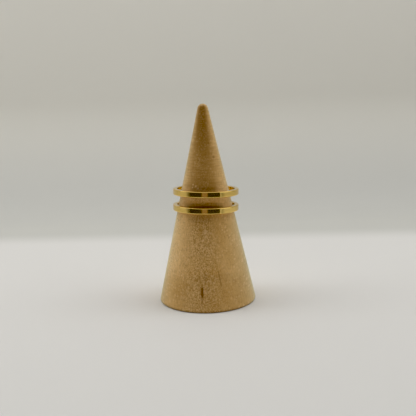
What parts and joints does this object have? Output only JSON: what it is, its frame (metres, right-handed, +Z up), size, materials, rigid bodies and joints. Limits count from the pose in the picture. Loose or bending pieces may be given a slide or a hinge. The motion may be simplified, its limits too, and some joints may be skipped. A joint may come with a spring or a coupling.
{
  "type": "double-band stackable ring on a ring cone stand",
  "caption": "Slim polished finger ring of parallel bands joined by a bridge at the back, resting on a turned wooden ring cone with a rounded tip and a flat foot.",
  "frame": {"origin": "centre of the ring cone's foot, on the surface that it stands on", "axes": "+Z up along the cone's axis to its tip; the ring's bridge is on the +Y side, and the view with the bands in front looks along +Y"},
  "size_m": [0.0298, 0.0298, 0.06],
  "materials": {
    "wood": "bare sanded beech, turned, matte",
    "gold": "yellow gold plate on brass, polished"
  },
  "bodies": {
    "root": {"ring_cone": "wood", "double_band_ring": "gold"}
  },
  "joints": []
}
